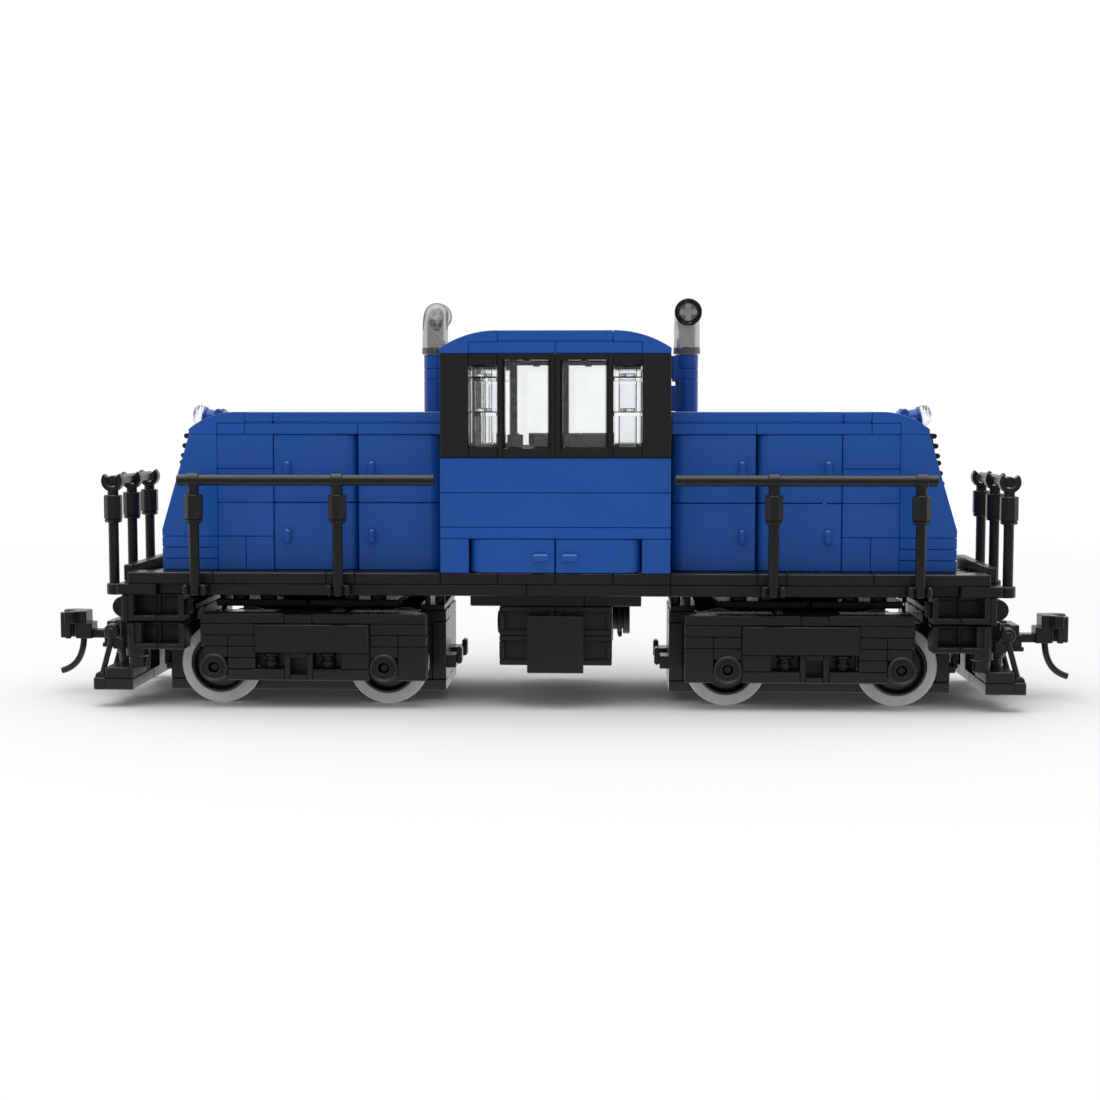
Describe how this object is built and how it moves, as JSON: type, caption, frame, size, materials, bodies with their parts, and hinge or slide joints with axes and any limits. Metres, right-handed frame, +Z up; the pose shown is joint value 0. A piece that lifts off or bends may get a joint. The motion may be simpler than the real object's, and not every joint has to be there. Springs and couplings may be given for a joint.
{
  "type": "model diesel locomotive",
  "caption": "Brick-built centre-cab diesel switcher model with hinged hood and cab doors, handrails, powered swivelling bogies and knuckle couplers",
  "frame": {"origin": "centre of the locomotive on the floor under its wheels", "axes": "+X along the locomotive towards its right-hand end, +Y across it away from the viewer, +Z up"},
  "size_m": [0.2984, 0.0768, 0.1162],
  "materials": {
    "blue_plastic": "gloss moulded blue plastic",
    "black_plastic": "satin moulded black plastic",
    "clear_plastic": "clear moulded plastic",
    "smoke_plastic": "smoke-grey transparent plastic",
    "dark_grey_plastic": "fine-textured dark grey plastic",
    "wheel_metal": "turned light grey metal"
  },
  "bodies": {
    "locomotive": {"underframe_deck": "black_plastic", "cab_walls": "blue_plastic", "cab_window_frame": "black_plastic", "cab_glazing": "clear_plastic", "cab_roof": "blue_plastic", "cab_console": "black_plastic", "fuel_tank": "black_plastic", "air_compressor": "black_plastic", "battery_box": "dark_grey_plastic", "control_receiver": "black_plastic", "end_beam_left": "black_plastic", "end_handrail_left": "black_plastic", "hood_shell_left": "blue_plastic", "hood_cover_left": "blue_plastic", "radiator_grille_left": "black_plastic", "headlight_left": "clear_plastic", "exhaust_pipe_left": "blue_plastic", "exhaust_elbow_left": "smoke_plastic", "side_handrail_left_near": "black_plastic", "side_handrail_left_far": "black_plastic", "end_beam_right": "black_plastic", "end_handrail_right": "black_plastic", "hood_shell_right": "blue_plastic", "hood_cover_right": "blue_plastic", "radiator_grille_right": "black_plastic", "headlight_right": "clear_plastic", "exhaust_pipe_right": "blue_plastic", "exhaust_elbow_right": "smoke_plastic", "side_handrail_right_near": "black_plastic", "side_handrail_right_far": "black_plastic"},
    "coupler_left": {"coupler_left": "black_plastic"},
    "bogie_left": {"bogie_frame_left": "black_plastic", "traction_motor_left": "black_plastic"},
    "wheelset_left_inner": {"wheelset_left_inner": "wheel_metal"},
    "wheelset_left_outer": {"wheelset_left_outer": "wheel_metal"},
    "cab_door_left_near": {"cab_door_left_near": "blue_plastic"},
    "hood_door_left_near_cab_end_lower": {"hood_door_left_near_cab_end_lower": "blue_plastic"},
    "hood_door_left_near_cab_end_upper": {"hood_door_left_near_cab_end_upper": "blue_plastic"},
    "hood_door_left_near_nose_end_lower": {"hood_door_left_near_nose_end_lower": "blue_plastic"},
    "hood_door_left_near_nose_end_upper": {"hood_door_left_near_nose_end_upper": "blue_plastic"},
    "cab_door_left_far": {"cab_door_left_far": "blue_plastic"},
    "hood_door_left_far_cab_end_lower": {"hood_door_left_far_cab_end_lower": "blue_plastic"},
    "hood_door_left_far_cab_end_upper": {"hood_door_left_far_cab_end_upper": "blue_plastic"},
    "hood_door_left_far_nose_end_lower": {"hood_door_left_far_nose_end_lower": "blue_plastic"},
    "hood_door_left_far_nose_end_upper": {"hood_door_left_far_nose_end_upper": "blue_plastic"},
    "coupler_right": {"coupler_right": "black_plastic"},
    "bogie_right": {"bogie_frame_right": "black_plastic", "traction_motor_right": "black_plastic"},
    "wheelset_right_inner": {"wheelset_right_inner": "wheel_metal"},
    "wheelset_right_outer": {"wheelset_right_outer": "wheel_metal"},
    "cab_door_right_near": {"cab_door_right_near": "blue_plastic"},
    "hood_door_right_near_cab_end_lower": {"hood_door_right_near_cab_end_lower": "blue_plastic"},
    "hood_door_right_near_cab_end_upper": {"hood_door_right_near_cab_end_upper": "blue_plastic"},
    "hood_door_right_near_nose_end_lower": {"hood_door_right_near_nose_end_lower": "blue_plastic"},
    "hood_door_right_near_nose_end_upper": {"hood_door_right_near_nose_end_upper": "blue_plastic"},
    "cab_door_right_far": {"cab_door_right_far": "blue_plastic"},
    "hood_door_right_far_cab_end_lower": {"hood_door_right_far_cab_end_lower": "blue_plastic"},
    "hood_door_right_far_cab_end_upper": {"hood_door_right_far_cab_end_upper": "blue_plastic"},
    "hood_door_right_far_nose_end_lower": {"hood_door_right_far_nose_end_lower": "blue_plastic"},
    "hood_door_right_far_nose_end_upper": {"hood_door_right_far_nose_end_upper": "blue_plastic"}
  },
  "joints": [
    {"name": "coupler_left_swing", "type": "hinge", "parent": "locomotive", "child": "coupler_left", "pos_m": [-0.13, 0, 0.017], "axis": [0, 0, 1], "range_deg": [-15, 15]},
    {"name": "bogie_left_swivel", "type": "hinge", "parent": "locomotive", "child": "bogie_left", "pos_m": [-0.072, 0, 0.02685], "axis": [0, 0, 1], "range_deg": [-5, 5]},
    {"name": "wheelset_left_inner_spin", "type": "hinge", "parent": "bogie_left", "child": "wheelset_left_inner", "pos_m": [-0.048, 0, 0.0116], "axis": [0, 1, 0], "continuous": true},
    {"name": "wheelset_left_outer_spin", "type": "hinge", "parent": "bogie_left", "child": "wheelset_left_outer", "pos_m": [-0.096, 0, 0.0116], "axis": [0, 1, 0], "continuous": true},
    {"name": "cab_door_left_near_hinge", "type": "hinge", "parent": "locomotive", "child": "cab_door_left_near", "pos_m": [-0.02, -0.028, 0.0432], "axis": [0, 0, -1], "range_deg": [0, 85]},
    {"name": "hood_door_left_near_cab_end_lower_hinge", "type": "hinge", "parent": "locomotive", "child": "hood_door_left_near_cab_end_lower", "pos_m": [-0.036, -0.02, 0.048], "axis": [0, 0, 1], "range_deg": [0, 85]},
    {"name": "hood_door_left_near_cab_end_upper_hinge", "type": "hinge", "parent": "locomotive", "child": "hood_door_left_near_cab_end_upper", "pos_m": [-0.036, -0.02, 0.0672], "axis": [0, 0, 1], "range_deg": [0, 30]},
    {"name": "hood_door_left_near_nose_end_lower_hinge", "type": "hinge", "parent": "locomotive", "child": "hood_door_left_near_nose_end_lower", "pos_m": [-0.06, -0.02, 0.048], "axis": [0, 0, 1], "range_deg": [0, 55]},
    {"name": "hood_door_left_near_nose_end_upper_hinge", "type": "hinge", "parent": "locomotive", "child": "hood_door_left_near_nose_end_upper", "pos_m": [-0.06, -0.02, 0.0672], "axis": [0, 0, 1], "range_deg": [0, 30]},
    {"name": "cab_door_left_far_hinge", "type": "hinge", "parent": "locomotive", "child": "cab_door_left_far", "pos_m": [-0.02, 0.028, 0.0432], "axis": [0, 0, 1], "range_deg": [0, 85]},
    {"name": "hood_door_left_far_cab_end_lower_hinge", "type": "hinge", "parent": "locomotive", "child": "hood_door_left_far_cab_end_lower", "pos_m": [-0.036, 0.02, 0.048], "axis": [0, 0, -1], "range_deg": [0, 85]},
    {"name": "hood_door_left_far_cab_end_upper_hinge", "type": "hinge", "parent": "locomotive", "child": "hood_door_left_far_cab_end_upper", "pos_m": [-0.036, 0.02, 0.0672], "axis": [0, 0, -1], "range_deg": [0, 30]},
    {"name": "hood_door_left_far_nose_end_lower_hinge", "type": "hinge", "parent": "locomotive", "child": "hood_door_left_far_nose_end_lower", "pos_m": [-0.06, 0.02, 0.048], "axis": [0, 0, -1], "range_deg": [0, 55]},
    {"name": "hood_door_left_far_nose_end_upper_hinge", "type": "hinge", "parent": "locomotive", "child": "hood_door_left_far_nose_end_upper", "pos_m": [-0.06, 0.02, 0.0672], "axis": [0, 0, -1], "range_deg": [0, 30]},
    {"name": "coupler_right_swing", "type": "hinge", "parent": "locomotive", "child": "coupler_right", "pos_m": [0.13, 0, 0.017], "axis": [0, 0, 1], "range_deg": [-15, 15]},
    {"name": "bogie_right_swivel", "type": "hinge", "parent": "locomotive", "child": "bogie_right", "pos_m": [0.072, 0, 0.02685], "axis": [0, 0, 1], "range_deg": [-5, 5]},
    {"name": "wheelset_right_inner_spin", "type": "hinge", "parent": "bogie_right", "child": "wheelset_right_inner", "pos_m": [0.048, 0, 0.0116], "axis": [0, 1, 0], "continuous": true},
    {"name": "wheelset_right_outer_spin", "type": "hinge", "parent": "bogie_right", "child": "wheelset_right_outer", "pos_m": [0.096, 0, 0.0116], "axis": [0, 1, 0], "continuous": true},
    {"name": "cab_door_right_near_hinge", "type": "hinge", "parent": "locomotive", "child": "cab_door_right_near", "pos_m": [0.02, -0.028, 0.0432], "axis": [0, 0, 1], "range_deg": [0, 85]},
    {"name": "hood_door_right_near_cab_end_lower_hinge", "type": "hinge", "parent": "locomotive", "child": "hood_door_right_near_cab_end_lower", "pos_m": [0.036, -0.02, 0.048], "axis": [0, 0, -1], "range_deg": [0, 85]},
    {"name": "hood_door_right_near_cab_end_upper_hinge", "type": "hinge", "parent": "locomotive", "child": "hood_door_right_near_cab_end_upper", "pos_m": [0.036, -0.02, 0.0672], "axis": [0, 0, -1], "range_deg": [0, 30]},
    {"name": "hood_door_right_near_nose_end_lower_hinge", "type": "hinge", "parent": "locomotive", "child": "hood_door_right_near_nose_end_lower", "pos_m": [0.06, -0.02, 0.048], "axis": [0, 0, -1], "range_deg": [0, 55]},
    {"name": "hood_door_right_near_nose_end_upper_hinge", "type": "hinge", "parent": "locomotive", "child": "hood_door_right_near_nose_end_upper", "pos_m": [0.06, -0.02, 0.0672], "axis": [0, 0, -1], "range_deg": [0, 30]},
    {"name": "cab_door_right_far_hinge", "type": "hinge", "parent": "locomotive", "child": "cab_door_right_far", "pos_m": [0.02, 0.028, 0.0432], "axis": [0, 0, -1], "range_deg": [0, 85]},
    {"name": "hood_door_right_far_cab_end_lower_hinge", "type": "hinge", "parent": "locomotive", "child": "hood_door_right_far_cab_end_lower", "pos_m": [0.036, 0.02, 0.048], "axis": [0, 0, 1], "range_deg": [0, 85]},
    {"name": "hood_door_right_far_cab_end_upper_hinge", "type": "hinge", "parent": "locomotive", "child": "hood_door_right_far_cab_end_upper", "pos_m": [0.036, 0.02, 0.0672], "axis": [0, 0, 1], "range_deg": [0, 30]},
    {"name": "hood_door_right_far_nose_end_lower_hinge", "type": "hinge", "parent": "locomotive", "child": "hood_door_right_far_nose_end_lower", "pos_m": [0.06, 0.02, 0.048], "axis": [0, 0, 1], "range_deg": [0, 55]},
    {"name": "hood_door_right_far_nose_end_upper_hinge", "type": "hinge", "parent": "locomotive", "child": "hood_door_right_far_nose_end_upper", "pos_m": [0.06, 0.02, 0.0672], "axis": [0, 0, 1], "range_deg": [0, 30]}
  ],
  "couplings": [
    {"joint": "wheelset_left_outer_spin", "follows": "wheelset_left_inner_spin", "ratio": 1},
    {"joint": "wheelset_right_outer_spin", "follows": "wheelset_right_inner_spin", "ratio": 1}
  ]
}
